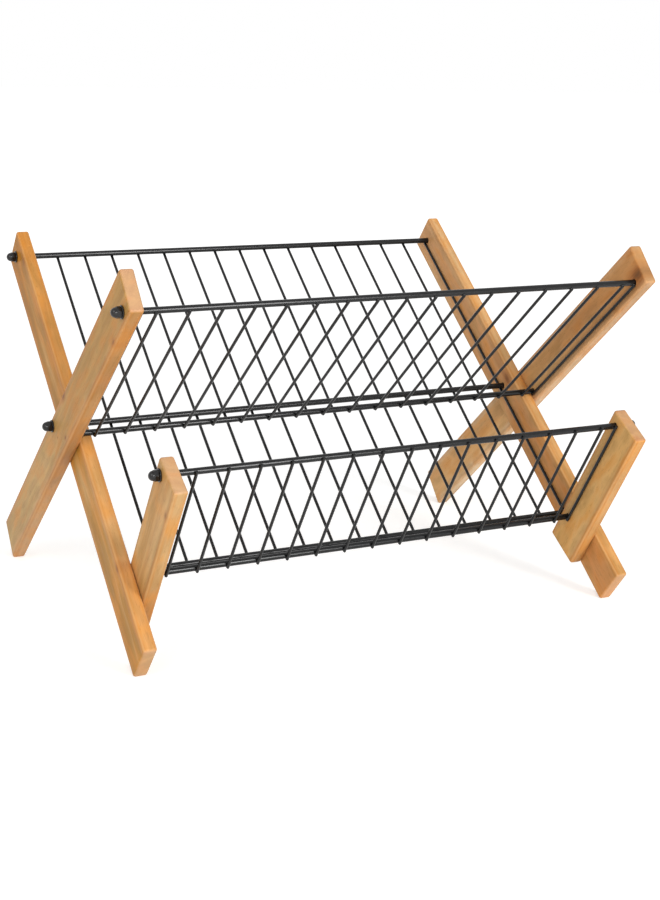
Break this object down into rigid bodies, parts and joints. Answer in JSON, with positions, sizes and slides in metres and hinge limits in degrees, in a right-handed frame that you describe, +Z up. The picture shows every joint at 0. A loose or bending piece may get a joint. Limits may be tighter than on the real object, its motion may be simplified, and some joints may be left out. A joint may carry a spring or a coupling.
{
  "type": "folding dish drying rack",
  "caption": "Folding two-tier dish drying rack: wooden boards crossed in an X carry black steel wire panels that hold plates upright above and cups and bowls below.",
  "frame": {"origin": "on the worktop, under the middle of the rack's overall width and depth", "axes": "+X along the rods, to the right as seen from the front; +Y from the front tier to the back; +Z up"},
  "size_m": [0.4648, 0.3824, 0.3012],
  "materials": {
    "board_wood": "oiled honey-coloured wood, satin",
    "coated_steel": "satin black coating",
    "black_fastener": "gloss black plating"
  },
  "bodies": {
    "long_frame": {"long_board_left": "board_wood", "long_board_right": "board_wood", "back_wire_panel": "coated_steel", "back_rod_washer_left": "black_fastener", "back_rod_cap_nut_left": "black_fastener", "back_rod_washer_right": "black_fastener", "back_rod_cap_nut_right": "black_fastener", "pivot_rod_washer_left": "black_fastener", "pivot_rod_cap_nut_left": "black_fastener", "pivot_rod_washer_right": "black_fastener", "pivot_rod_cap_nut_right": "black_fastener"},
    "cross_frame": {"cross_board_left": "board_wood", "cross_board_right": "board_wood", "upper_wire_panel": "coated_steel", "upper_rod_washer_left": "black_fastener", "upper_rod_cap_nut_left": "black_fastener", "upper_rod_washer_right": "black_fastener", "upper_rod_cap_nut_right": "black_fastener"},
    "short_frame": {"short_board_left": "board_wood", "short_board_right": "board_wood", "lower_wire_panel": "coated_steel", "lower_rod_washer_left": "black_fastener", "lower_rod_cap_nut_left": "black_fastener", "lower_rod_washer_right": "black_fastener", "lower_rod_cap_nut_right": "black_fastener"}
  },
  "joints": [
    {"name": "cross_fold", "type": "hinge", "parent": "long_frame", "child": "cross_frame", "pos_m": [0, 0.02183, 0.15065], "axis": [-1, 0, 0], "range_deg": [0, 96]},
    {"name": "short_fold", "type": "hinge", "parent": "long_frame", "child": "short_frame", "pos_m": [0, -0.10452, 0.06378], "axis": [-1, 0, 0], "range_deg": [0, 76]}
  ]
}
